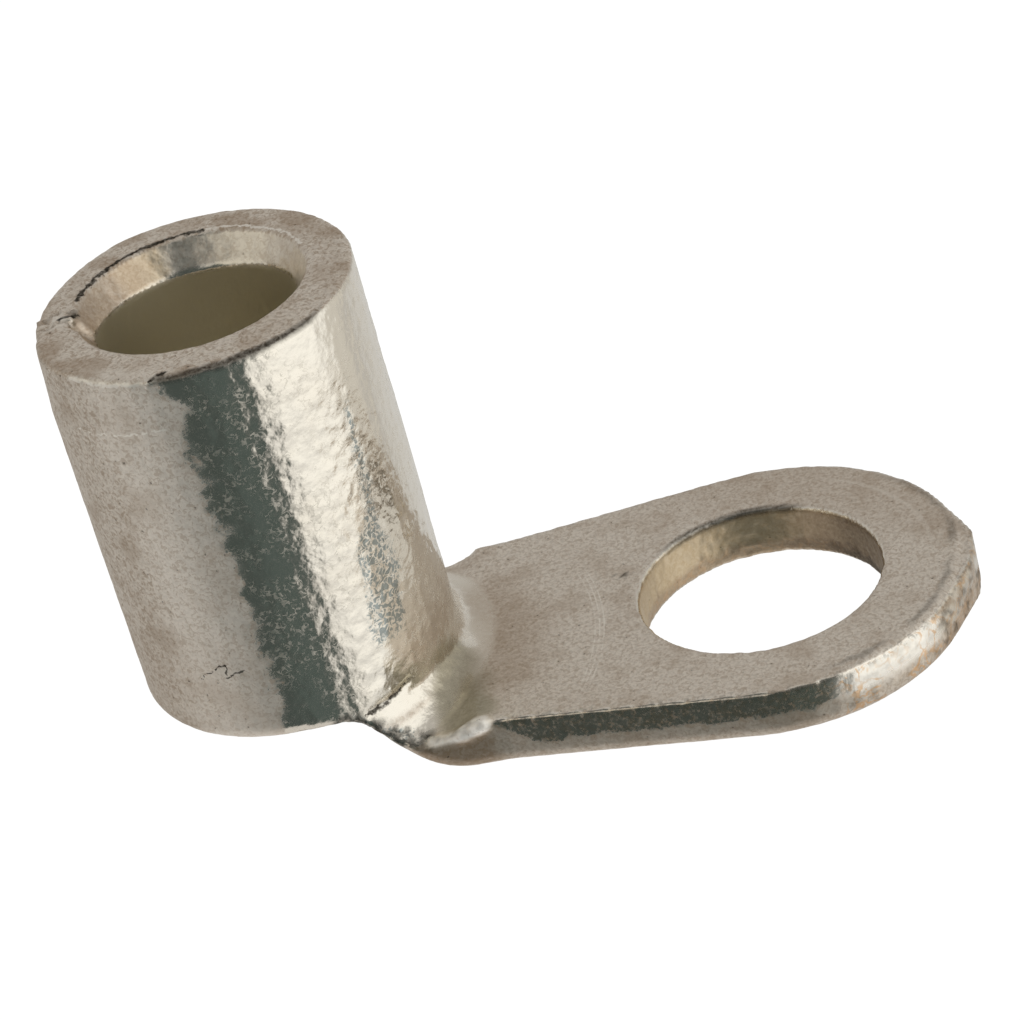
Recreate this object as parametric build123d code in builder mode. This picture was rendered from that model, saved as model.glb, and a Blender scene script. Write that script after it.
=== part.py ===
"""Right-angle ring lug for the end of a copper cable.

One strip of copper is blanked, rolled into a barrel, brazed along its butt seam, folded square
and tin plated, so the whole lug is one solid. The origin is the centre of the stud hole on the
face that is clamped down: the tongue lies in XY with its tip towards +X, and the barrel stands
along +Z behind it.
"""
import os
from math import atan2, cos, degrees, radians, sin, tan

from build123d import *

# Strip and barrel
sheet = 1.0            # thickness of the copper strip, as left in the tongue
barrel_r = 2.8         # outside radius of the rolled barrel, and half the width of the neck
bore_r = 1.73          # radius of the bore that takes the bared wire
rim_z = 8.75           # height of the barrel's open rim above the clamped face
reach = 8.15           # from the stud hole to the barrel's axis
rim_round = 0.1        # rounding of the rim's outer edge

# Bell mouth coined into the rim
mouth_r = 2.02         # radius of the mouth at the rim
mouth_depth = 0.45     # depth at which it runs out into the bore
mouth_shift = 0.07     # how far to one side its punch sat
mouth_round = 0.06     # rounding between the mouth and the rim's face

# Fold between the barrel and the tongue
bend_r = 0.38          # inside radius of the fold, between the barrel wall and the tongue's top
flat_turn = 68.0       # part of the fold's quarter turn by which the strip has become flat
flat_power = 1.2       # how late the strip flattens within that turn
fold_step = 15.0       # turn between two sections of the fold
strip_half = 3.5       # half width of the strip in the fold, before it is trimmed

# Shoulder trimmed from the barrel's lower edge down to the clamped face
shoulder_x = 1.02      # where its slope leaves the barrel's lower edge, ahead of the axis
shoulder_slope = 46.0  # angle of the slope below the horizontal
shoulder_r = 0.8       # rounding where it leaves that edge
heel_r = 1.4           # rounding where it runs out into the clamped face

# Tongue and ring
neck_run = 0.4         # length of the neck before it widens
ring_r = 3.5           # outside radius of the ring
ring_shift = 0.12      # how far the ring's centre lies ahead of the stud hole
under_round = 0.3      # rounding of the lower edges, where the blanking die drew them in

# Flat stub left at the tip where the lug was cut from its carrier
stub_w = 0.8           # width of the flat
stub_y = -0.1          # its middle, to one side of the lug's plane
stub_out = 0.15        # how far it stands out of the ring
stub_round = 0.3       # rounding of its corners

# Stud hole
stud_r = 2.15          # radius of the sheared land that a 4 mm stud passes
stud_round = 0.1       # rounding of its top edge, where the punch entered
stud_break = 0.05      # how far the torn part below the land flares out
stud_break_h = 0.3     # height of that torn part

# Butt seam at the back of the barrel
seam_turn = 184.0      # direction of the seam in the bore, from +X
seam_skew = 7.0        # how much further round the same seam lies in the outer skin
notch_r = 2.26         # radius reached by the notch where the seam opens into the mouth
notch_base = 1.4       # distance of the notch's inner side from the barrel's axis
notch_near = 1.3       # how far it spreads from the seam on one side, along that inner side
notch_far = 0.6        # and on the other
bore_groove = 0.07     # depth of the groove left in the bore above the braze
bore_groove_w = 0.3    # its width
skin_groove = 0.17     # depth of the shallow groove left in the outer skin
skin_groove_w = 0.5    # its width
groove_flat = 0.05     # width of the bottoms of both grooves

# The skin beside the seam is flatter and leans in towards the rim
lean_turn = 167.0      # direction of the middle of that patch, from +X
lean_in = 0.16         # how far it has come in at the rim
lean_h = 2.3           # height over which it comes in
lean_r = 3.25          # radius of the patch

# Derived sizes
wall = barrel_r - bore_r
foot_z = sheet + bend_r
axis_x = -reach
fold_x = axis_x + barrel_r + bend_r
neck_x = fold_x + neck_run
tip_x = ring_shift + ring_r
mouth_slope = degrees(atan2(mouth_r - bore_r, mouth_depth))
mouth_reach = mouth_depth * (mouth_r - bore_r + mouth_shift) / (mouth_r - bore_r)


def fold_curve(turn):
    """Curvature of the strip's outer face across its width, at a turn of the fold in degrees."""
    if turn >= flat_turn:
        return 0.001
    return (1 - (turn / flat_turn) ** flat_power) / barrel_r


def fold_plane(turn):
    """Plane across the strip at a turn of the fold: local x points away from the fold's axis."""
    away = (-cos(radians(turn)), 0, -sin(radians(turn)))
    onward = (sin(radians(turn)), 0, -cos(radians(turn)))
    return Plane(origin=(fold_x, 0, foot_z), x_dir=away, z_dir=onward)


def seam_plane(turn, height):
    """Level plane on the barrel's axis at this height: local x points at the seam."""
    toward = (cos(radians(turn)), sin(radians(turn)), 0)
    return Plane(origin=(axis_x, 0, height), x_dir=toward, z_dir=(0, 0, 1))


def lean_plane():
    """Plane across the leaning patch's own axis, at the rim, facing down along that axis."""
    toward = (cos(radians(lean_turn)), sin(radians(lean_turn)))
    back = lean_r - barrel_r + lean_in
    origin = (axis_x - back * toward[0], -back * toward[1], rim_z)
    return Plane(origin=origin, z_dir=(lean_in * toward[0], lean_in * toward[1], -lean_h))


# Envelope: the blank's outline seen from above and the shoulder seen from the side, with the
# lower edge rounded all the way round
with BuildPart() as envelope:
    with BuildSketch() as outline:
        with Locations((ring_shift, 0)):
            Circle(ring_r)
        with Locations((neck_x, 0)):
            Rectangle(0.01, 2 * barrel_r)
        with Locations((tip_x + stub_out, stub_y)):
            Rectangle(stub_out, stub_w, align=(Align.MAX, Align.CENTER))
        make_hull()
        fillet(outline.vertices().group_by(Axis.X)[-1], stub_round)
        with Locations((axis_x, 0)):
            Circle(barrel_r)
            Rectangle(neck_x - axis_x, 2 * barrel_r, align=(Align.MIN, Align.CENTER))
    extrude(amount=rim_z)
    with BuildSketch(Plane.XZ) as shoulder:
        crest = (axis_x + shoulder_x, foot_z)
        heel = (crest[0] + foot_z / tan(radians(shoulder_slope)), 0)
        with BuildLine():
            Polyline(
                (axis_x - barrel_r - 1, foot_z),
                crest,
                heel,
                (heel[0] + heel_r, 0),
                (heel[0] + heel_r, -1),
                (axis_x - barrel_r - 1, -1),
                close=True,
            )
        make_face()
        fillet(shoulder.vertices().sort_by_distance(crest)[0], shoulder_r)
        fillet(shoulder.vertices().sort_by_distance(heel)[0], heel_r)
    extrude(amount=ring_r + 1, both=True, mode=Mode.SUBTRACT)
    crosswise = envelope.edges().filter_by(Axis.Y).filter_by(lambda e: e.center().X < neck_x)
    lower = envelope.edges().filter_by(lambda e: e.bounding_box().max.Z < foot_z + 0.01)
    fillet(lower - crosswise, under_round)

with BuildPart() as cable_lug:
    # Fold: sections of the strip that turn about the fold's axis as they flatten
    for step in range(int(90 / fold_step) + 1):
        turn = step * fold_step
        thickness = wall + (sheet - wall) * turn / 90
        outer_r = 1 / fold_curve(turn)
        inner_r = outer_r - thickness
        spread = degrees(strip_half / (outer_r - thickness / 2))
        middle = (bend_r + outer_r, 0)
        with BuildSketch(fold_plane(turn)):
            with BuildLine():
                outer_arc = CenterArc(middle, outer_r, 180 - spread, 2 * spread)
                inner_arc = CenterArc(middle, inner_r, 180 - spread, 2 * spread)
                Line(outer_arc @ 0, inner_arc @ 0)
                Line(outer_arc @ 1, inner_arc @ 1)
            make_face()
    loft()

    # Tongue, still oversize: the envelope gives it its outline and its underside
    with BuildSketch(Plane.XY.offset(-1)):
        with Locations((fold_x, 0)):
            Rectangle(2 * reach, 4 * ring_r, align=(Align.MIN, Align.CENTER))
    extrude(amount=sheet + 1)

    # Barrel
    with BuildSketch(Plane.XY.offset(foot_z)):
        with Locations((axis_x, 0)):
            Circle(barrel_r)
            Circle(bore_r, mode=Mode.SUBTRACT)
    extrude(amount=rim_z - foot_z)

    add(envelope.part, mode=Mode.INTERSECT)

    # Rim and bell mouth
    fillet(cable_lug.faces().sort_by(Axis.Z)[-1].outer_wire().edges(), rim_round)
    with Locations((axis_x, mouth_shift, rim_z)):
        Cone(bore_r - mouth_shift, mouth_r, mouth_reach,
             align=(Align.CENTER, Align.CENTER, Align.MAX), mode=Mode.SUBTRACT)
    fillet(cable_lug.faces().sort_by(Axis.Z)[-1].inner_wires().edges(), mouth_round)

    # Leaning patch beside the seam
    with BuildSketch(lean_plane()):
        Circle(lean_r + 1)
        Circle(lean_r, mode=Mode.SUBTRACT)
    extrude(amount=2 * lean_h, both=True, mode=Mode.SUBTRACT)

    # Stud hole: rounded by the punch above, sheared below, torn at the bottom
    with Locations((0, 0, sheet)):
        Hole(stud_r)
    fillet(
        cable_lug.edges().filter_by(GeomType.CIRCLE).filter_by(
            lambda e: e.is_closed and abs(e.center().Z - sheet) < 0.01
        ),
        stud_round,
    )
    Cone(stud_r + stud_break, stud_r, stud_break_h, align=(Align.CENTER, Align.CENTER, Align.MIN),
         mode=Mode.SUBTRACT)

    # Butt seam: notch that slopes like the mouth, fine groove along the bore, wider one outside
    with BuildSketch(seam_plane(seam_turn, rim_z)):
        Polygon((notch_r, 0), (notch_base, notch_near), (notch_base, -notch_far), align=None)
    extrude(amount=-mouth_depth, taper=mouth_slope, mode=Mode.SUBTRACT)
    with BuildSketch(seam_plane(seam_turn, foot_z - 1)):
        Polygon((bore_r + bore_groove, -groove_flat / 2), (bore_r + bore_groove, groove_flat / 2),
                (bore_r - 0.1, bore_groove_w / 2), (bore_r - 0.1, -bore_groove_w / 2), align=None)
    extrude(amount=rim_z - foot_z + 1, mode=Mode.SUBTRACT)
    with BuildSketch(seam_plane(seam_turn + seam_skew, foot_z - 1)):
        Polygon((barrel_r - skin_groove, -groove_flat / 2), (barrel_r - skin_groove, groove_flat / 2),
                (barrel_r + 0.05, skin_groove_w / 2), (barrel_r + 0.05, -skin_groove_w / 2), align=None)
    extrude(amount=rim_z - foot_z + 1, mode=Mode.SUBTRACT)

os.makedirs("parts", exist_ok=True)
cable_lug.part.label = "cable_lug"
export_step(cable_lug.part, "parts/cable_lug.step")
print("cable_lug", len(cable_lug.solids()), "solid", cable_lug.part.is_valid, round(cable_lug.part.volume, 3), "mm3")
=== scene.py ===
"""Looks of a right-angle ring cable lug of tin-plated copper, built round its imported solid."""

import logging
from dataclasses import dataclass
from enum import Enum
from math import cos, pi, radians, sin
from typing import Any

import bpy
import numpy as np
from mathutils import Matrix, Vector, noise

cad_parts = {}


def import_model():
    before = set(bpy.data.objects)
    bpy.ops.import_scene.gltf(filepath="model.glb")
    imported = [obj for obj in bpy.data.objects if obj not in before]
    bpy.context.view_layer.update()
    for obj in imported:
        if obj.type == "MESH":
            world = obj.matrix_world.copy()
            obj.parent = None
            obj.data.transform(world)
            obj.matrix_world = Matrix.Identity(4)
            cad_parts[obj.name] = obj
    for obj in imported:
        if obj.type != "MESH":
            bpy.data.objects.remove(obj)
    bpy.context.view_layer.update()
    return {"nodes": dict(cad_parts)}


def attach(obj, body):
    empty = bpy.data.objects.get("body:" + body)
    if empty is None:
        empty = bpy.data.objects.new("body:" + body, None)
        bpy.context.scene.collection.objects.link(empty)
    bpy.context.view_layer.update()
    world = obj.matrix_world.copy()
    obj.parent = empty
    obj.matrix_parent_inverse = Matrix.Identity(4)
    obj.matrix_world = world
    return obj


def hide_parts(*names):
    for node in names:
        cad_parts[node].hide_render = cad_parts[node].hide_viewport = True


log = logging.getLogger("lug")
Triple = tuple[float, float, float]
MM = 1000.0           # millimetres to the metre
DEGREES = 180 / pi    # degrees to the radian
AXIS_X = -8.15        # where the barrel's axis stands, in millimetres
MOUTH_SHIFT = 0.07    # how far to one side of that axis the mouth was coined


class Mark(Enum):
    """Masks painted on the lug's points, each read by the finish under its own name."""

    SCUFF = "scuff"        # dull, grainy plate
    CRINKLE = "crinkle"    # bright, hammered plate
    STAIN = "stain"        # brown film
    GOLD = "gold"          # thin plate with copper diffused through it
    BARE = "bare"          # copper showing through
    DIRT = "dirt_and_shade"          # dirt in the notch, pits and creases, and painted shade in the fold's corner and along its lower edge
    TARNISH = "blue_reflection"    # painted reflection: mottled blue-grey on the barrel, and painted shade along the fold's lower edge
    BURNISH = "burnish_and_highlight"    # pale, rubbed or left matte, and a painted highlight in the fold's inner corner
    EDGE = "edge"          # sharp edges, where the plate is worn and dirt gathers
    FRINGE = "fringe"      # ragged border between dull and bright plate
    OLIVE = "olive"        # thin, even plate deep in the bore, and painted shade in the fold


class Ink(Enum):
    """What a fine line on the skin is made of."""

    DARK = "dark"
    LIGHT = "light"


@dataclass(frozen=True)
class Stroke:
    """A fine line on the skin, finer than the mesh: a broken line in space, in millimetres."""

    ink: Ink
    half_width: float
    points: tuple[Triple, ...]


# Shader maths


class Tone:
    """A shader socket that takes part in Python arithmetic."""

    def __init__(self, nodes: "Nodes", socket: Any) -> None:
        """Wraps a socket.

        Args:
            nodes: the graph that the socket belongs to.
            socket: the output socket.
        """
        self.nodes = nodes
        self.socket = socket

    def _math(self, operation: str, *values: Any, clamp: bool = False) -> "Tone":
        """One Math node on this graph."""
        inputs = {i: v for i, v in enumerate(values)}
        return self.nodes.add("ShaderNodeMath", {"operation": operation, "use_clamp": clamp}, inputs)

    def __add__(self, other: Any) -> "Tone":
        """Sum."""
        return self._math("ADD", self, other)

    __radd__ = __add__

    def __mul__(self, other: Any) -> "Tone":
        """Product."""
        return self._math("MULTIPLY", self, other)

    __rmul__ = __mul__

    def __sub__(self, other: Any) -> "Tone":
        """Difference."""
        return self._math("SUBTRACT", self, other)

    def __rsub__(self, other: Any) -> "Tone":
        """Difference from a number, such as 1 - mask."""
        return self._math("SUBTRACT", other, self)

    def __truediv__(self, other: Any) -> "Tone":
        """Quotient."""
        return self._math("DIVIDE", self, other)

    def __rtruediv__(self, other: Any) -> "Tone":
        """Quotient of a number and this value."""
        return self._math("DIVIDE", other, self)

    def __pow__(self, other: float) -> "Tone":
        """Power."""
        return self._math("POWER", self, other)

    def __abs__(self) -> "Tone":
        """Size without its sign."""
        return self._math("ABSOLUTE", self)

    def sine(self) -> "Tone":
        """Sine of this value in radians."""
        return self._math("SINE", self)

    def lower(self, other: Any) -> "Tone":
        """The lower of two values."""
        return self._math("MINIMUM", self, other)

    def higher(self, other: Any) -> "Tone":
        """The higher of two values."""
        return self._math("MAXIMUM", self, other)

    def clamped(self) -> "Tone":
        """The value held between 0 and 1."""
        return self._math("ADD", self, 0.0, clamp=True)

    def step(self, low: float, high: float) -> "Tone":
        """Smooth ramp of this value.

        Args:
            low: value at which the ramp is 0.
            high: value at which it is 1; below low, the ramp falls.

        Returns:
            A value from 0 to 1.
        """
        return self.nodes.add(
            "ShaderNodeMapRange",
            {"interpolation_type": "SMOOTHSTEP"},
            {"Value": self, "From Min": low, "From Max": high, "To Min": 0.0, "To Max": 1.0},
        )


class Nodes:
    """A node graph, of a material or of the world."""

    def __init__(self, tree: Any) -> None:
        """Starts an empty graph.

        Args:
            tree: the node tree to fill.
        """
        self.tree = tree
        tree.nodes.clear()

    def add(self, kind: str, settings: dict[str, Any], inputs: dict[Any, Any], output: Any = 0) -> Any:
        """Adds one node.

        Args:
            kind: the node's type.
            settings: its properties, set before its sockets.
            inputs: a value or a Tone for each socket, by name or number.
            output: the output wanted, by name or number, or None for a node with none.

        Returns:
            That output.
        """
        node = self.tree.nodes.new(kind)
        for name, value in settings.items():
            setattr(node, name, value)
        for name, value in inputs.items():
            socket = node.inputs[name]
            if isinstance(value, Tone):
                self.tree.links.new(value.socket, socket)
            elif isinstance(value, tuple) and socket.type == "RGBA":
                socket.default_value = (*value, 1.0)
            else:
                socket.default_value = value
        return None if output is None else Tone(self, node.outputs[output])

    def mix(self, factor: Any, first: Any, second: Any) -> Tone:
        """Colour mix.

        Args:
            factor: share of the second colour.
            first: a colour or a Tone.
            second: a colour or a Tone.

        Returns:
            The mixed colour.
        """
        return self.add(
            "ShaderNodeMix", {"data_type": "RGBA", "clamp_factor": True}, {0: factor, 6: first, 7: second}, 2
        )

    def vector(self, operation: str, first: Any, second: Any = None, output: str = "Vector") -> Tone:
        """Vector maths on one or two vectors."""
        inputs = {0: first} if second is None else {0: first, 1: second}
        return self.add("ShaderNodeVectorMath", {"operation": operation}, inputs, output)

    def scaled(self, vector: Any, factor: Any) -> Tone:
        """A vector times a number."""
        return self.add("ShaderNodeVectorMath", {"operation": "SCALE"}, {0: vector, "Scale": factor})

    def parts(self, vector: Tone) -> tuple[Tone, Tone, Tone]:
        """The three parts of a vector, from one node."""
        first = self.add("ShaderNodeSeparateXYZ", {}, {0: vector})
        outputs = first.socket.node.outputs
        return first, Tone(self, outputs[1]), Tone(self, outputs[2])

    def noise(self, place: Tone, scale: float, detail: float = 2.0, rough: float = 0.5,
              twist: float = 0.0, output: str = "Fac") -> Tone:
        """Fractal noise from 0 to 1, with the scale in features to the millimetre."""
        return self.add(
            "ShaderNodeTexNoise",
            {"noise_dimensions": "3D"},
            {"Vector": place, "Scale": scale, "Detail": detail, "Roughness": rough, "Distortion": twist},
            output,
        )

    def mark(self, which: Mark) -> Tone:
        """A painted mask."""
        return self.add("ShaderNodeAttribute", {"attribute_name": which.value}, {}, "Fac")

    def stroke(self, place: Tone, stroke: Stroke) -> Tone:
        """Mask of a broken line in space.

        Args:
            place: position in millimetres.
            stroke: the line.

        Returns:
            1 on the line, falling to 0 at its half width.
        """
        nearest: Any = 9.0
        for start, end in zip(stroke.points, stroke.points[1:]):
            run = Vector(end) - Vector(start)
            off = self.vector("SUBTRACT", place, start)
            share = self.vector("DOT_PRODUCT", off, tuple(run / run.length_squared), "Value").clamped()
            reach = self.vector("DISTANCE", off, self.scaled(tuple(run), share), "Value")
            nearest = reach.lower(nearest)
        return nearest.step(stroke.half_width, stroke.half_width * 0.35)


# Finish


def mouth_arc(radius: float, height: float, first: float, last: float,
              parts: int = 8) -> tuple[Triple, ...]:
    """Points of an arc round the mouth, which lies a little to one side of the barrel's axis.

    Args:
        radius: its radius.
        height: its height.
        first: turn of its first point, in degrees from +X.
        last: turn of its last point.
        parts: number of straight parts between them.

    Returns:
        The points, one more than the parts.
    """
    turns = [radians(first + (last - first) * i / parts) for i in range(parts + 1)]
    return tuple((AXIS_X + radius * cos(t), MOUTH_SHIFT + radius * sin(t), height) for t in turns)


@dataclass(frozen=True)
class TinPlate:
    """Dull to bright tin plate on copper, with film, bare spots, scratches and dirt, and painted shade,
    highlights and reflections.
    """

    bright_tin: Triple = (0.84, 0.805, 0.735)
    warm_tin: Triple = (0.84, 0.78, 0.68)      # blotches on the bright plate
    dull_tin: Triple = (0.84, 0.785, 0.715)
    grain_tin: Triple = (0.58, 0.53, 0.47)     # grain of the dull plate
    pale_tin: Triple = (0.97, 0.94, 0.88)      # where it is rubbed, and for painted highlights
    film: Triple = (0.44, 0.34, 0.25)
    gold: Triple = (0.72, 0.57, 0.33)
    copper: Triple = (0.74, 0.47, 0.25)
    # Dark colour for dirt and for painted shade
    dirt_and_shade: Triple = (0.055, 0.048, 0.038)
    # Blue-grey colour of a painted reflection on the barrel
    blue_reflection: Triple = (0.23, 0.29, 0.31)
    olive: Triple = (0.70, 0.65, 0.51)
    bright_rough: float = 0.17
    dull_rough: float = 0.52
    arc_centre: Triple = (-8.2, -0.5, 0.0)     # of the tool marks on the tongue
    arc_waves: float = 78.0                    # how closely those marks lie
    washer_r: float = 3.06                     # radius of the ring mark round the stud hole
    strokes: tuple[Stroke, ...] = (
        # Scratch round the barrel below the rim
        Stroke(Ink.LIGHT, 0.030, ((-10.22, -1.86, 7.65), (-9.77, -2.28, 7.66), (-9.3, -2.55, 7.69),
                                  (-8.86, -2.71, 7.76), (-8.6, -2.77, 7.80))),
        # Painted highlight along the near left of the rim's edge, where its rounding mirrors the light, over
        # burnished plate
        Stroke(Ink.LIGHT, 0.055, ((-10.12, -1.97, 8.70), (-9.75, -2.28, 8.67), (-9.33, -2.53, 8.66),
                                  (-8.87, -2.70, 8.66), (-8.54, -2.77, 8.68))),
        # Zigzag scratch low on the barrel
        Stroke(Ink.DARK, 0.026, ((-9.40, -2.50, 2.77), (-9.32, -2.54, 2.86), (-8.92, -2.69, 3.06),
                                 (-8.96, -2.68, 2.80), (-8.68, -2.75, 2.92), (-8.52, -2.78, 2.96))),
        # Crease in the fold, fine at its upper end
        Stroke(Ink.DARK, 0.045, ((-6.13, -1.92, 1.54), (-6.26, -2.04, 1.48), (-6.39, -2.15, 1.44))),
        Stroke(Ink.DARK, 0.062, ((-6.39, -2.15, 1.44), (-6.52, -2.25, 1.42), (-6.66, -2.35, 1.40),
                                 (-6.90, -2.46, 1.36))),
        # End of the seam, and dirt on the rim's near edge
        Stroke(Ink.DARK, 0.060, ((-10.00, 0.14, 8.64), (-10.15, 0.02, 8.72), (-10.38, -0.08, 8.75))),
        Stroke(Ink.DARK, 0.060, ((-8.62, -2.74, 8.71), (-8.34, -2.62, 8.75))),
        # Dirt on the far left of the mouth's edge, and a burr on its far right
        Stroke(Ink.DARK, 0.055, mouth_arc(2.06, 8.73, 88.0, 168.0)),
        Stroke(Ink.LIGHT, 0.040, mouth_arc(2.06, 8.73, 24.0, 86.0)),
    )

    def material(self) -> bpy.types.Material:
        """Builds the node material.

        Returns:
            The material, with its patterns on Object coordinates and on the painted masks.
        """
        made = bpy.data.materials.new("tin_plate")
        made.use_nodes = True
        n = Nodes(made.node_tree)
        mm = n.scaled(n.add("ShaderNodeTexCoord", {}, {}, "Object"), MM)
        drift = n.noise(mm, 7.0, 2.0, 0.6, output="Color")
        wavy = n.vector("ADD", mm, n.scaled(n.vector("SUBTRACT", drift, (0.5, 0.5, 0.5)), 0.16))

        grain = n.noise(mm, 15.0, 1.0, 0.6)
        hair = n.noise(mm, 11.0, 3.0, 0.65, 1.0)
        patch = n.noise(mm, 1.1, 4.0, 0.6)
        curl = 1.0 - abs(n.noise(mm, 8.5, 1.0, 0.55, 0.6) * 2.0 - 1.0)
        red, green, _ = n.parts(drift)
        speck = n.noise(mm, 11.0, 1.0)
        crinkle, edge = n.mark(Mark.CRINKLE), n.mark(Mark.EDGE)
        scuff = (n.mark(Mark.SCUFF) + (hair + grain - 1.0) * 1.2 * n.mark(Mark.FRINGE)).step(0.15, 0.85)
        drawn = {ink: self._highest([n.stroke(wavy, s) for s in self.strokes if s.ink is ink]) for ink in Ink}
        arcs, ring = self._tool_marks(n, mm, wavy)
        arcs = arcs * (patch + green).step(0.80, 1.04)

        # Dull plate with fine grain, brown hairs that are stronger on the barrel, and soft blotches
        dull = n.mix(grain.step(0.35, 0.70) * 0.50, self.dull_tin, self.grain_tin)
        strength = 0.42 + 0.22 * n.parts(mm)[2].step(1.5, 2.5)
        dull = n.mix(hair.step(0.48, 0.61) * strength, dull, self.film)
        dull = n.mix(patch.step(0.46, 0.68) * 0.36, dull, self.film)
        bright = n.mix(patch.step(0.35, 0.75) * 0.35, self.bright_tin, self.warm_tin)
        colour = n.mix(scuff, bright, dull)
        colour = n.mix(n.mark(Mark.OLIVE), colour, self.olive)

        # Flecks, which only roughen it, then a painted blue-grey reflection, golden plate and brown film
        flecks = curl.step(0.84, 0.96) * crinkle * red.step(0.44, 0.56) * patch.step(0.34, 0.54)
        # Painted reflection: mottled blue-grey on the barrel and along the fold's lower edge
        blue = (n.mark(Mark.TARNISH) + (hair - 0.5) * 1.6).step(0.25, 0.75) * curl.step(0.97, 0.80) * 0.8
        colour = n.mix(blue, colour, self.blue_reflection)
        colour = n.mix(n.mark(Mark.GOLD) * (0.35 + 0.65 * hair), colour, self.gold)
        stain = (n.mark(Mark.STAIN) * (0.25 + 1.3 * hair)).clamped()
        colour = n.mix(stain, colour, self.film)

        # Wear and painted highlights, crackled copper showing through it, and dirt with painted shade
        net = 1.0 - abs(n.noise(wavy, 3.2, 1.0) * 2.0 - 1.0)
        crackle = (net.step(0.90, 0.98) * 0.75).higher(speck.step(0.62, 0.68) * 0.5)
        # Pale mix: rubbed plate, burrs and tool marks, with painted highlights in the fold's inner corner and
        # on the rim's edge
        light = (n.mark(Mark.BURNISH) * (0.4 + grain)).clamped()
        light = light.higher(drawn[Ink.LIGHT] * 0.85).higher(edge * speck.step(0.56, 0.66) * 0.8)
        light = light.higher(arcs * 0.60).higher(ring * hair.step(0.40, 0.55) * 0.35)
        colour = n.mix(light, colour, self.pale_tin)
        colour = n.mix(n.mark(Mark.BARE) * crackle, colour, self.copper)
        # Dark mix: dirt, and painted shade in the fold and along its lower edge
        dirt_and_shade = (n.mark(Mark.DIRT) * (0.5 + hair)).higher(drawn[Ink.DARK] * (0.35 + 1.1 * hair))
        pits = speck.step(0.74, 0.79) * scuff * (1.0 - n.mark(Mark.OLIVE)) * 0.6
        dirt_and_shade = dirt_and_shade.higher(edge * speck.step(0.46, 0.38) * 0.75).higher(pits)
        colour = n.mix(dirt_and_shade.clamped(), colour, self.dirt_and_shade)

        rough = scuff * (self.dull_rough - self.bright_rough) + self.bright_rough
        rough = rough + (patch - 0.5) * 0.10 + (grain - 0.5) * 0.10 + flecks * 0.24 + blue * 0.10
        rough = rough + dirt_and_shade * 0.2 - light * scuff * 0.15
        metal = 1.0 - n.mark(Mark.BURNISH) * 0.55
        height = n.noise(mm, 14.0, 1.0) * 0.0035 + n.noise(mm, 5.5, 1.0, 0.4) * crinkle * 0.012
        bump = n.add("ShaderNodeBump", {}, {"Strength": 1.0, "Distance": 0.001, "Height": height}, "Normal")
        shader = n.add(
            "ShaderNodeBsdfPrincipled",
            {},
            {"Base Color": colour, "Metallic": metal, "Roughness": rough.clamped(), "Normal": bump},
            "BSDF",
        )
        n.add("ShaderNodeOutputMaterial", {}, {"Surface": shader}, None)
        return made

    def _tool_marks(self, n: Nodes, mm: Tone, wavy: Tone) -> tuple[Tone, Tone]:
        """Concentric tool marks on the tongue, and the mark of a ring round the stud hole.

        Args:
            n: the graph.
            mm: position in millimetres.
            wavy: the same, shifted a little by noise.

        Returns:
            The mask of each.
        """
        x, y, z = n.parts(mm)
        level = (1.0, 1.0, 0.0)
        far = n.vector("DISTANCE", n.vector("MULTIPLY", mm, level), self.arc_centre, "Value")
        arcs = (far * self.arc_waves).sine().step(0.0, 1.0) * far.step(5.18, 5.26) * far.step(5.50, 5.40)
        arcs = arcs * z.step(0.9, 0.98) * z.step(1.1, 1.02) * y.step(1.6, 0.8) * y.step(-2.6, -1.8)
        away = n.vector("LENGTH", n.vector("MULTIPLY", wavy, level), None, "Value")
        ring = abs(away - self.washer_r).step(0.07, 0.02) * x.step(1.0, 1.8)
        return arcs, ring * z.step(0.9, 0.98) * y.step(0.0, 0.5)

    @staticmethod
    def _highest(tones: list[Tone]) -> Any:
        """The highest of some masks, or 0."""
        best: Any = 0.0
        for tone in tones:
            best = tone.higher(best)
        return best


# The lug


def ramp(value: np.ndarray, low: float, high: float) -> np.ndarray:
    """Smooth step.

    Args:
        value: the numbers.
        low: where the step is 0.
        high: where it is 1; below low, the step falls.

    Returns:
        Numbers from 0 to 1.
    """
    t = np.clip((value - low) / (high - low), 0, 1)
    return t * t * (3 - 2 * t)


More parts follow.
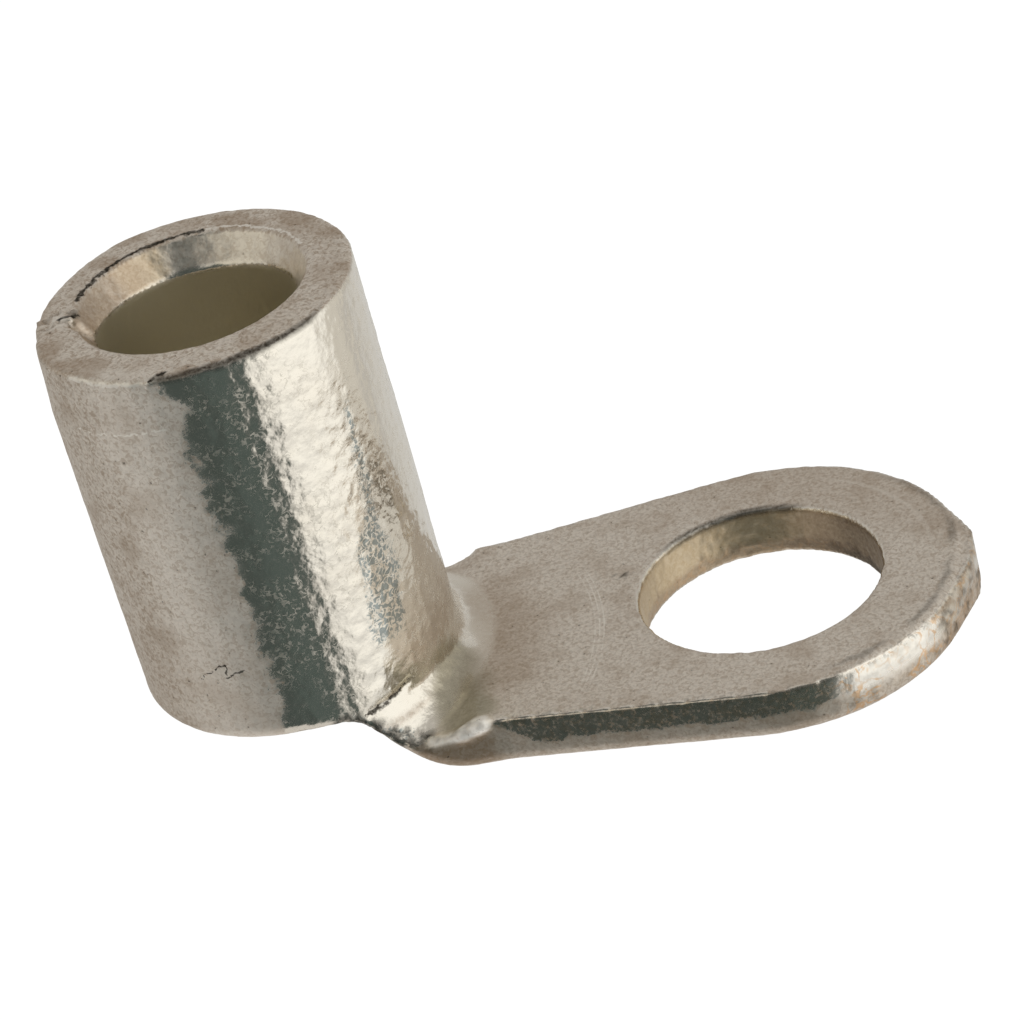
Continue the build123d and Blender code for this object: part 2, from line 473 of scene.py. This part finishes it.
class Skin:
    """The points of the piece's mesh in millimetres, and the places that its marks are given in."""

    def __init__(self, mesh: bpy.types.Mesh) -> None:
        """Reads the mesh.

        Args:
            mesh: the mesh, in millimetres.
        """
        self.mesh = mesh
        self.count = len(mesh.vertices)
        self.p = self._read(mesh.vertices, "co", self.count)
        self.n = self._read(mesh.vertex_normals, "vector", self.count)
        self.x, self.y, self.z = self.p.T
        self.r = np.hypot(self.x - AXIS_X, self.y)
        self.turn = np.degrees(np.arctan2(self.y, self.x - AXIS_X)) % 360
        ends = np.zeros(2 * len(mesh.edges), dtype=np.int64)
        mesh.edges.foreach_get("vertices", ends)
        self.ends = ends.reshape(-1, 2)

    @staticmethod
    def _read(items: Any, name: str, count: int) -> np.ndarray:
        """Vectors of the mesh as an array."""
        flat = np.zeros(count * 3)
        items.foreach_get(name, flat)
        return flat.reshape(-1, 3)

    def field(self, scale: float, seed: float = 0.0) -> np.ndarray:
        """Smooth noise of about -0.5 to 0.5 over the points, with the scale in features to the millimetre."""
        off = Vector((seed, 3.1 * seed, 7.7 * seed))
        return np.array([noise.noise(Vector(q) * scale + off) for q in self.p])

    def spread(self, value: np.ndarray, times: int) -> np.ndarray:
        """A mask averaged with its neighbours this many times."""
        degree = np.bincount(self.ends.ravel(), minlength=self.count) + 1.0
        for _ in range(times):
            total = value.copy()
            np.add.at(total, self.ends[:, 0], value[self.ends[:, 1]])
            np.add.at(total, self.ends[:, 1], value[self.ends[:, 0]])
            value = total / degree
        return value

    def edges(self) -> np.ndarray:
        """1 on sharp edges, where neighbouring normals differ, and 0 elsewhere."""
        dots = np.einsum("ij,ij->i", self.n[self.ends[:, 0]], self.n[self.ends[:, 1]])
        worst = np.ones(self.count)
        np.minimum.at(worst, self.ends[:, 0], dots)
        np.minimum.at(worst, self.ends[:, 1], dots)
        return ramp(worst, 0.93, 0.80)

    def path(self, points: tuple[Triple, ...]) -> np.ndarray:
        """Distance from each point to a broken line in space."""
        best = np.full(self.count, 99.0)
        for start, end in zip(np.array(points[:-1]), np.array(points[1:])):
            run = end - start
            share = np.clip((self.p - start) @ run / (run @ run), 0, 1)
            best = np.minimum(best, np.linalg.norm(self.p - start - share[:, None] * run, axis=1))
        return best

    def spot(self, place: Triple, radius: float) -> np.ndarray:
        """1 at a place, falling to 0 at this distance."""
        return ramp(np.linalg.norm(self.p - np.array(place), axis=1), radius, 0.25 * radius)

    def paint(self, mark: Mark, value: np.ndarray) -> None:
        """Stores a mask on the points."""
        layer = self.mesh.attributes.new(mark.value, "FLOAT", "POINT")
        layer.data.foreach_set("value", np.clip(value, 0, 1).astype(np.float32))


@dataclass(frozen=True)
class Fields:
    """Smooth noise over the points, from broad to fine."""

    slow: np.ndarray
    mid: np.ndarray
    fine: np.ndarray
    quick: np.ndarray

    @classmethod
    def over(cls, skin: Skin) -> "Fields":
        """The four fields over a mesh's points."""
        return cls(skin.field(0.55), skin.field(1.6, 2.0), skin.field(4.2, 5.0), skin.field(7.5, 9.0))


@dataclass(frozen=True)
class Zones:
    """Masks of the lug's parts, 1 on them and falling to 0 at their borders."""

    barrel: np.ndarray
    rim: np.ndarray
    mouth: np.ndarray
    bore: np.ndarray
    hole: np.ndarray
    top: np.ndarray      # of the tongue
    under: np.ndarray    # of the tongue
    side: np.ndarray     # of the tongue and the fold
    web: np.ndarray      # inside of the fold


@dataclass
class Lug:
    """The whole lug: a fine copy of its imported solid, with the marks of rolling, folding and plating."""

    barrel_r: float = 2.8
    bore_r: float = 1.73
    rim_z: float = 8.75
    sheet: float = 1.0
    ring_x: float = 0.12
    ring_r: float = 3.5
    stud_r: float = 2.15
    voxel: float = 0.0685
    merge: float = 0.0005         # points of two faces that lie closer than this become one
    relax_gain: float = 1.6       # how strongly the smoothing takes hold beside a sharp edge
    relax_factor: float = 0.5
    relax_times: int = 9
    plate_turn: float = 268.5     # where the dull plate of the seam side ends and the bright plate starts
    far_turn: float = 388.0       # and where the bright plate ends, past +X
    crease: tuple[Triple, ...] = ((-6.13, -1.92, 1.54), (-6.39, -2.17, 1.44), (-6.80, -2.46, 1.40))
    # Path of the painted shade in the fold's concave corner
    shade: tuple[Triple, ...] = ((-5.5, -1.0, 1.08), (-5.4, -1.7, 0.97), (-5.3, -2.25, 0.93))
    # Path of the painted shade along the fold's lower edge
    low_edge: tuple[Triple, ...] = ((-7.30, -2.62, 1.42), (-6.95, -2.60, 1.22), (-6.62, -2.58, 1.02),
                                    (-6.30, -2.60, 0.88), (-5.95, -2.66, 0.78))
    lip: tuple[Triple, ...] = ((-5.85, -2.74, 0.80), (-5.4, -2.76, 0.84), (-4.96, -2.76, 0.95))
    fold_stain: tuple[Triple, ...] = ((-4.9, 0.9, 1.0), (-4.4, 0.0, 1.0), (-4.6, -1.4, 1.0))
    # Path of a painted highlight in the fold's inner corner
    pale_highlight: tuple[Triple, ...] = ((-5.45, 1.2, 1.15), (-5.33, 0.2, 1.14), (-5.25, -0.3, 1.08))
    seam_end: Triple = (-10.45, -0.1, 8.72)
    notch: Triple = (-10.1, 0.0, 8.65)
    dirt_spot: Triple = (-2.44, 0.95, 1.0)    # on the tongue, beside the stud hole

    def build(self, node: bpy.types.Object) -> bpy.types.Object:
        """Makes the piece.

        Args:
            node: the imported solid's object, which is left alone.

        Returns:
            The finished piece.
        """
        piece = self._fine_copy(node)
        self._round_edges(piece)
        self._shape(piece)
        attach(piece, "root")
        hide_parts(node.name)
        piece.data.materials.clear()
        piece.data.materials.append(TinPlate().material())
        return piece

    def _fine_copy(self, node: bpy.types.Object) -> bpy.types.Object:
        """A copy of the solid in millimetres, merged and remeshed to even small faces on the same surface."""
        bpy.ops.object.select_all(action="DESELECT")
        guide = bpy.data.objects.new("lug_guide", node.data.copy())
        bpy.context.scene.collection.objects.link(guide)
        guide.data.transform(Matrix.Scale(MM, 4))
        bpy.context.view_layer.objects.active = guide
        guide.select_set(True)
        bpy.ops.object.mode_set(mode="EDIT")
        bpy.ops.mesh.select_all(action="SELECT")
        bpy.ops.mesh.remove_doubles(threshold=self.merge)
        bpy.ops.object.mode_set(mode="OBJECT")
        piece = bpy.data.objects.new("lug_skin", guide.data.copy())
        bpy.context.scene.collection.objects.link(piece)
        bpy.ops.object.select_all(action="DESELECT")
        bpy.context.view_layer.objects.active = piece
        piece.select_set(True)
        remesh = piece.modifiers.new("even", "REMESH")
        remesh.mode = "VOXEL"
        remesh.voxel_size = self.voxel
        wrap = piece.modifiers.new("settle", "SHRINKWRAP")
        wrap.wrap_method = "NEAREST_SURFACEPOINT"
        wrap.target = guide
        bpy.ops.object.modifier_apply(modifier=remesh.name)
        bpy.ops.object.modifier_apply(modifier=wrap.name)
        bpy.data.objects.remove(guide)
        bpy.ops.object.shade_smooth()
        return piece

    def _round_edges(self, piece: bpy.types.Object) -> None:
        """Rounds the sharp edges by about a tenth of a millimetre, as plating leaves them."""
        skin = Skin(piece.data)
        soft = np.minimum(self.relax_gain * skin.spread(skin.edges(), 2), 1.0)
        group = piece.vertex_groups.new(name="edges")
        for level in np.unique(np.round(soft, 1)):
            if level > 0:
                group.add(np.nonzero(np.round(soft, 1) == level)[0].tolist(), float(level), "REPLACE")
        relax = piece.modifiers.new("relax", "SMOOTH")
        relax.factor = self.relax_factor
        relax.iterations = self.relax_times
        relax.vertex_group = group.name
        bpy.ops.object.modifier_apply(modifier=relax.name)
        piece.vertex_groups.clear()

    def _shape(self, piece: bpy.types.Object) -> None:
        """Moves the points to their hammered places, paints the masks and goes back to metres."""
        skin = Skin(piece.data)
        f = Fields.over(skin)
        zone = self._zones(skin)
        edge = skin.spread(skin.edges(), 1)
        marks = self._marks(skin, f, zone, edge)
        for mark, value in marks.items():
            skin.paint(mark, value)
        move = self._relief(skin, f, zone, marks[Mark.CRINKLE], edge)
        p = self._wear_ring(skin.p) + skin.n * move[:, None]
        p = np.clip(p, skin.p.min(axis=0), skin.p.max(axis=0))
        piece.data.vertices.foreach_set("co", (p / MM).ravel())
        piece.data.update()

    def _zones(self, skin: Skin) -> Zones:
        """Where the lug's parts are, from its own sizes."""
        x, z, r, up = skin.x, skin.z, skin.r, skin.n[:, 2]
        hole_r = np.hypot(x, skin.y)
        near_axis = ramp(r, self.barrel_r - 0.45, self.barrel_r - 0.25)
        rim = ramp(z, self.rim_z - 0.20, self.rim_z - 0.07) * ramp(up, 0.5, 0.8)
        side = ramp(np.abs(up), 0.75, 0.55) * ramp(z, self.sheet + 0.15, self.sheet + 0.05)
        return Zones(
            barrel=near_axis * ramp(z, 1.0, 1.5) * ramp(r, self.barrel_r + 0.30, self.barrel_r + 0.15),
            rim=rim,
            mouth=ramp(r, 2.2, 2.1) * ramp(z, self.rim_z - 0.55, self.rim_z - 0.45)
            * ramp(up, 0.2, 0.4) * (1 - rim),
            bore=ramp(r, self.bore_r + 0.27, self.bore_r + 0.17) * ramp(up, 0.3, 0.15)
            * ramp(z, self.rim_z - 0.25, self.rim_z - 0.40),
            hole=ramp(hole_r, self.stud_r + 0.15, self.stud_r + 0.10) * ramp(np.abs(up), 0.6, 0.4),
            top=ramp(up, 0.75, 0.92) * ramp(z, 1.6, 1.3),
            under=ramp(up, -0.5, -0.8),
            side=side * ramp(hole_r, self.stud_r + 0.25, self.stud_r + 0.45) * ramp(x, -6.6, -6.0),
            web=ramp(r, 3.6, 3.2) * ramp(z, 1.9, 1.4) * ramp(x, -6.4, -5.9) * ramp(up, 0.1, 0.4),
        )

    @staticmethod
    def _ragged_turn(skin: Skin, f: Fields) -> np.ndarray:
        """Noisy turn round the barrel, run from 120 to 480 so that the bright plate lies in one piece."""
        turn = skin.turn + 5.0 * f.mid + 4.0 * f.fine
        return np.where(turn < 120, turn + 360, turn)

    def _border(self, skin: Skin) -> np.ndarray:
        """Turn at which the bright plate starts, a little earlier at the rim."""
        return self.plate_turn - 9.0 * ramp(skin.z, 8.1, 8.55)

    def _plate(self, skin: Skin, f: Fields) -> np.ndarray:
        """1 on the bright plate round the barrel."""
        turn, border = self._ragged_turn(skin, f), self._border(skin)
        return ramp(turn, border - 3.0, border + 3.0) * ramp(turn, self.far_turn + 6.0, self.far_turn - 6.0)

    def _marks(self, skin: Skin, f: Fields, zone: Zones, edge: np.ndarray) -> dict[Mark, np.ndarray]:
        """Works out every mask.

        Args:
            skin: the points.
            f: noise over them.
            zone: the lug's parts.
            edge: 1 on sharp edges.

        Returns:
            The value of each mask at each point.
        """
        x, y, z, r = skin.x, skin.y, skin.z, skin.r
        turn, border, plate = self._ragged_turn(skin, f), self._border(skin), self._plate(skin, f)
        fringe = ramp(np.abs(turn - border), 8.0, 3.0) + ramp(np.abs(turn - self.far_turn), 14.0, 6.0)
        dull = zone.barrel * (1 - plate)

        # Side of the tongue: bright above, dull below, and worn round the ring
        below = ramp(z - 0.5 * ramp(x, -4.0, -5.1) + 0.08 * f.mid + 0.06 * f.fine, 0.60, 0.44)
        low_side, high_side = zone.side * below, zone.side * (1 - below)
        fold_side = zone.side * ramp(x, -4.7, -5.0)
        ring_side = zone.side * ramp(x, 0.7, 1.4)
        ring_turn = np.degrees(np.arctan2(y, x - self.ring_x))
        rubbed = ramp(ring_turn, -82, -72) * ramp(ring_turn + 15 * f.mid, -34, -42)
        inset = 0.12 + 0.14 * ramp(ring_turn, 20, -10) + 0.08 * f.fine
        groove = ramp(np.abs(np.hypot(x - self.ring_x, y) - self.ring_r + inset), 0.10, 0.02) * zone.top
        groove = groove * ramp(ring_turn, -80, -66) * ramp(ring_turn, 60, 30) * ramp(f.mid, -0.5, 0.1)
        torn = zone.hole * ramp(z + 0.12 * f.fine, 0.42, 0.22)    # lower part of the stud hole's wall

        # Fold
        lip = skin.path(self.lip)
        fold_back = ramp(r, 3.1, 2.9) * (1 - zone.barrel) * ramp(z, 1.3, 1.0) * ramp(x, -5.5, -6.2)
        near_fold = zone.top * ramp(skin.path(self.fold_stain), 1.1, 0.1)
        # Painted shade: dark olive in the fold's concave corner
        shade = ramp(skin.path(self.shade) + 0.2 * f.mid, 0.70, 0.30) * ramp(x + 0.2 * f.mid, -5.95, -5.70)
        # Painted shade: a dark band along the fold's lower edge
        low_edge = ramp(skin.path(self.low_edge) + 0.08 * f.fine, 0.24, 0.10)
        band = np.abs(skin.turn - 316 - 2.6 * (z - 3.0) + 3.0 * f.mid)

        scuff = [
            dull, zone.rim, zone.top * (1 - zone.web), zone.under, zone.bore, low_side, fold_side, fold_back,
            0.5 * zone.mouth, 0.65 * zone.hole, 0.25 * zone.side, 0.8 * ramp(lip, 0.30, 0.15),
        ]
        crinkle = zone.barrel * plate + 0.15 * high_side
        crinkle = crinkle + 0.2 * zone.mouth + 0.25 * zone.hole + 0.6 * zone.web
        stain = 0.55 * near_fold + 0.65 * fold_side + 0.5 * torn
        stain = stain + zone.hole * (0.35 + 0.55 * ramp(x, 0.2, 1.2))
        stain = stain + 0.6 * zone.rim * ramp(f.mid, 0.05, 0.3) + 0.3 * low_side
        stain = stain + 0.3 * zone.top * ramp(y + 0.5 * x, 1.2, 3.0) + 0.5 * high_side * ramp(x, 1.6, 0.8)
        stain = stain + 0.8 * zone.mouth * ramp(skin.turn, 100, 130) + 0.18 * dull * ramp(z, 4.5, 2.5)
        stain = stain + ring_side * (1 - rubbed) * (0.25 + 0.6 * ramp(f.fine, -0.1, 0.2))
        golden_mouth = 0.8 * zone.mouth * ramp(skin.turn, 105, 115) * ramp(skin.turn, 145, 132)
        bare = ring_side * (0.3 + 0.7 * rubbed) * ramp(f.mid + 0.5 * f.fine, -0.35, 0.05)
        dirt_and_shade = self._dark_rim(skin) + 0.7 * skin.spot(self.notch, 0.3) * ramp(f.fine, 0.0, 0.2)
        # Painted shade along the fold's lower edge and in its corner, among the dirt
        dirt_and_shade = dirt_and_shade + 0.75 * low_edge * ramp(f.quick, -0.3, 0.1) + 0.35 * shade + self._dark_hole(skin)
        dirt_and_shade = dirt_and_shade + 0.38 * groove + 0.5 * ring_side * (1 - 0.7 * rubbed) * ramp(f.quick, 0.05, 0.3)
        dirt_and_shade = dirt_and_shade + 0.3 * torn * ramp(x, 0.0, 1.0) + 0.45 * zone.hole * ramp(x, 0.9, 1.8)
        dirt_and_shade = dirt_and_shade + 0.8 * skin.spot(self.dirt_spot, 0.22) * ramp(f.quick, 0.1, 0.25)
        # Painted reflection: a mottled blue-grey patch on the barrel
        blue_reflection = ramp(band + 7.0 * ramp(z, 4.0, 5.2), 13.0, 4.0) * ramp(z, 2.2, 2.9) * ramp(z, 7.8, 6.4)
        burnish_and_highlight = 0.6 * ring_side * rubbed * ramp(z, 0.35, 0.6) + ramp(lip, 0.20, 0.10)
        # Painted highlight in the fold's inner corner
        burnish_and_highlight = burnish_and_highlight + self._pale_corner(skin, f)
        burnish_and_highlight = burnish_and_highlight + 0.6 * skin.spot(self.seam_end, 0.35) * ramp(f.quick, -0.1, 0.1)
        burnish_and_highlight = burnish_and_highlight + 0.25 * dull * ramp(turn, 225, 245) * ramp(turn, 300, 280)
        return {
            Mark.SCUFF: np.maximum.reduce(scuff),
            Mark.FRINGE: zone.barrel * fringe + 0.8 * zone.side * ramp(x, 1.6, 0.9),
            Mark.CRINKLE: np.clip(crinkle, 0, 1),
            Mark.STAIN: stain,
            Mark.OLIVE: zone.bore + 0.85 * shade,
            Mark.GOLD: 0.5 * ramp(lip, 0.25, 0.1) + zone.hole + golden_mouth + 0.05 * zone.web,
            Mark.BARE: bare + 0.3 * torn + 0.3 * high_side,
            Mark.DIRT: dirt_and_shade,
            Mark.TARNISH: zone.barrel * blue_reflection + 0.5 * low_edge,
            Mark.BURNISH: burnish_and_highlight,
            Mark.EDGE: edge * (1 - zone.rim * 0.5) * ramp(lip, 0.2, 0.35),
        }

    def _relief(self, skin: Skin, f: Fields, zone: Zones, crinkle: np.ndarray,
                edge: np.ndarray) -> np.ndarray:
        """How far each point moves along its normal.

        Args:
            skin: the points.
            f: noise over them.
            zone: the lug's parts.
            crinkle: 1 on hammered plate.
            edge: 1 on sharp edges.

        Returns:
            The distances in millimetres, outward above 0.
        """
        move = f.slow * 0.03 * zone.barrel * self._plate(skin, f) + (f.fine + f.quick) * 0.008 * crinkle
        move = move + (f.mid * 0.008 + f.quick * 0.004) * (1 - crinkle)
        move = move + f.quick * 0.018 * (zone.hole + 0.3 * zone.mouth)
        move = np.minimum(move, 0.004) + edge * f.quick * 0.02
        move = move - 0.04 * ramp(skin.path(self.crease), 0.10, 0.02)
        move = move + 0.06 * ramp(skin.path(self.lip), 0.24, 0.02) * (1 + 1.5 * f.fine)
        return move + 0.20 * skin.spot(self.seam_end, 0.45) * (f.quick + 0.1)

    def _wear_ring(self, p: np.ndarray) -> np.ndarray:
        """Wears the ring's near right side: the stub's near corner, then the top edge.

        Args:
            p: the points.

        Returns:
            Their new places.
        """
        turn = np.degrees(np.arctan2(p[:, 1], p[:, 0] - self.ring_x))
        out = p.copy()

        # Stub: pulled in to a softer outline
        away = np.hypot(out[:, 0] - self.ring_x, out[:, 1])
        limit = self.ring_r + 0.16 * ramp(turn, -24, 0)
        excess = np.maximum(away - limit, 0) / np.maximum(away, 1e-9)
        pull = np.where((turn > -40) & (turn < 0), excess, 0.0)
        out[:, 0] -= pull * (p[:, 0] - self.ring_x)
        out[:, 1] -= pull * p[:, 1]

        # Top edge: rounded to a radius that grows towards the near right
        away = np.hypot(out[:, 0] - self.ring_x, out[:, 1])
        radius = 0.02 + 0.26 * ramp(turn, -82, -58) * ramp(turn, 8, -6)
        inward = np.maximum(self.ring_r - away, 0)
        down = np.maximum(self.sheet - out[:, 2], 0)
        reach = np.hypot(radius - inward, radius - down)
        corner = (inward < radius) & (down < radius) & (reach > radius)
        share = np.where(corner, 1 - radius / np.maximum(reach, 1e-9), 0.0)
        shift = share * (radius - inward) / np.maximum(away, 1e-9)
        out[:, 0] -= shift * (out[:, 0] - self.ring_x)
        out[:, 1] -= shift * out[:, 1]
        out[:, 2] -= share * (radius - down)
        return out

    def _dark_rim(self, skin: Skin) -> np.ndarray:
        """Dark line along the right part of the rim's outer edge."""
        line = ramp(np.abs(skin.r - self.barrel_r + 0.06 + 0.08 * skin.field(2.0, 11.0)), 0.09, 0.03)
        line = line * ramp(skin.z, self.rim_z - 0.15, self.rim_z - 0.05)
        return 0.8 * line * ramp(skin.turn, 258, 264) * ramp(skin.turn, 332, 318)

    def _dark_hole(self, skin: Skin) -> np.ndarray:
        """Dirt along the far left part of the stud hole's upper edge."""
        hole_turn = np.degrees(np.arctan2(skin.y, skin.x)) % 360
        line = ramp(np.abs(np.hypot(skin.x, skin.y) - self.stud_r - 0.04), 0.09, 0.03)
        line = line * ramp(skin.z, self.sheet - 0.15, self.sheet - 0.07)
        return 0.7 * line * ramp(hole_turn, 62, 75) * ramp(hole_turn, 150, 125)

    def _pale_corner(self, skin: Skin, f: Fields) -> np.ndarray:
        """Painted highlight in the inner corner of the fold: pale matte colour where the light is reflected.
        """
        far = skin.path(self.pale_highlight) + 0.25 * f.mid + 0.15 * f.fine
        return ramp(far, 0.24, 0.08) * (0.65 + 0.5 * f.quick)


# Studio


@dataclass(frozen=True)
class Panel:
    """A lit or dark part of the room, seen in the metal. Angles are in degrees, turn from +X."""

    turn: float
    half_turn: float
    low: float
    high: float
    soft: float
    light: Triple


@dataclass(frozen=True)
class Studio:
    """White table and a soft room."""

    room: Triple = (0.51, 0.49, 0.46)
    table_size: float = 1.2
    table_z: float = -0.00003    # just under the clamped face, so that the two don't flicker
    panels: tuple[Panel, ...] = (
        Panel(0.0, 190.0, -95.0, -50.0, 12.0, (0.66, 0.63, 0.59)),    # stands in for the table
        Panel(78.0, 34.0, -52.0, -8.0, 16.0, (0.65, 0.64, 0.615)),    # low on the far side
        Panel(-148.0, 36.0, 14.0, 44.0, 14.0, (0.68, 0.64, 0.55)),    # warm wall on the left
        Panel(17.0, 16.0, -60.0, 36.0, 14.0, (0.66, 0.63, 0.57)),    # beside the soft box
        Panel(-22.0, 29.0, -62.0, 70.0, 8.0, (0.78, 0.765, 0.73)),    # border of the soft box
        Panel(-24.0, 27.0, -33.0, 64.0, 22.0, (1.13, 1.11, 1.05)),    # soft box
        Panel(-92.0, 36.0, -50.0, 24.0, 9.0, (0.065, 0.08, 0.074)),    # dark side, where the camera stands
        Panel(-76.0, 12.0, -50.0, 10.0, 16.0, (0.085, 0.108, 0.10)),    # paler stripe in it
        Panel(-80.0, 21.0, 18.0, 50.0, 9.0, (0.075, 0.085, 0.08)),    # dark above it
        Panel(-92.0, 44.0, 46.0, 68.0, 9.0, (0.11, 0.11, 0.10)),    # dark ceiling over the camera
    )

    def build(self) -> None:
        """Makes the world and the floor."""
        world = bpy.data.worlds.new("room")
        bpy.context.scene.world = world
        world.use_nodes = True
        world.cycles.sampling_method = "NONE"
        n = Nodes(world.node_tree)
        way = n.add("ShaderNodeTexCoord", {}, {}, "Generated")
        _, _, z = n.parts(way)
        height = n.add("ShaderNodeMath", {"operation": "ARCSINE"}, {0: z}) * DEGREES
        colour: Any = self.room
        for panel in self.panels:
            colour = n.mix(self._share(n, panel, way, height), colour, panel.light)
        seen = n.add("ShaderNodeLightPath", {}, {}, "Is Camera Ray")
        colour = n.mix(seen, colour, (1.0, 1.0, 1.0))
        back = n.add("ShaderNodeBackground", {}, {"Color": colour, "Strength": 1.0})
        n.add("ShaderNodeOutputWorld", {}, {"Surface": back}, None)
        self._floor()

    @staticmethod
    def _share(n: Nodes, panel: Panel, way: Tone, height: Tone) -> Tone:
        """How much of a panel is seen in each direction."""
        angle = -radians(panel.turn)
        turned = n.add("ShaderNodeVectorRotate", {"rotation_type": "Z_AXIS"}, {"Vector": way, "Angle": angle})
        along, across, _ = n.parts(turned)
        side = abs(n.add("ShaderNodeMath", {"operation": "ARCTAN2"}, {0: across, 1: along}) * DEGREES)
        half = panel.soft / 2
        share = side.step(panel.half_turn + half, panel.half_turn - half)
        share = share * height.step(panel.low - half, panel.low + half)
        return share * height.step(panel.high + half, panel.high - half)

    def _floor(self) -> None:
        """A plain white table."""
        bpy.ops.object.select_all(action="DESELECT")
        bpy.ops.mesh.primitive_plane_add(size=self.table_size, location=(0, 0, self.table_z))
        floor = bpy.context.active_object
        floor.name = "floor"
        paint = bpy.data.materials.new("white_table")
        paint.use_nodes = True
        n = Nodes(paint.node_tree)
        white = n.add(
            "ShaderNodeBsdfPrincipled",
            {},
            {"Base Color": (0.1, 0.1, 0.1), "Roughness": 1.0, "Specular IOR Level": 0.0,
             "Emission Color": (1.0, 1.0, 1.0), "Emission Strength": 1.0},
            "BSDF",
        )
        n.add("ShaderNodeOutputMaterial", {}, {"Surface": white}, None)
        floor.data.materials.append(paint)
        floor.visible_glossy = False


@dataclass(frozen=True)
class PhotoCamera:
    """The camera as it stood for the photograph."""

    place: Triple = (0.003803, -0.053476, 0.036312)
    turn_deg: Triple = (57.6609, 13.0976, 0.0622)
    lens: float = 129.417
    sensor: float = 36.0
    clip: tuple[float, float] = (0.001, 10.0)

    def build(self) -> None:
        """Adds the camera and makes it the scene's own."""
        data = bpy.data.cameras.new("photo_camera")
        data.lens = self.lens
        data.sensor_width = self.sensor
        data.clip_start, data.clip_end = self.clip
        camera = bpy.data.objects.new("photo_camera", data)
        camera.location = self.place
        camera.rotation_euler = tuple(radians(a) for a in self.turn_deg)
        bpy.context.scene.collection.objects.link(camera)
        bpy.context.scene.camera = camera


def main() -> None:
    """Builds the scene in order."""
    logging.basicConfig(level=logging.INFO, format="%(name)s: %(message)s")
    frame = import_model()
    bpy.context.scene.view_settings.view_transform = "Standard"
    piece = Lug().build(frame["nodes"]["cable_lug"])
    piece.data.calc_loop_triangles()
    counts = len(piece.data.vertices), len(piece.data.loop_triangles)
    log.info("%s: %d points, %d triangles", piece.name, *counts)
    Studio().build()
    PhotoCamera().build()


if __name__ == "__main__":
    main()
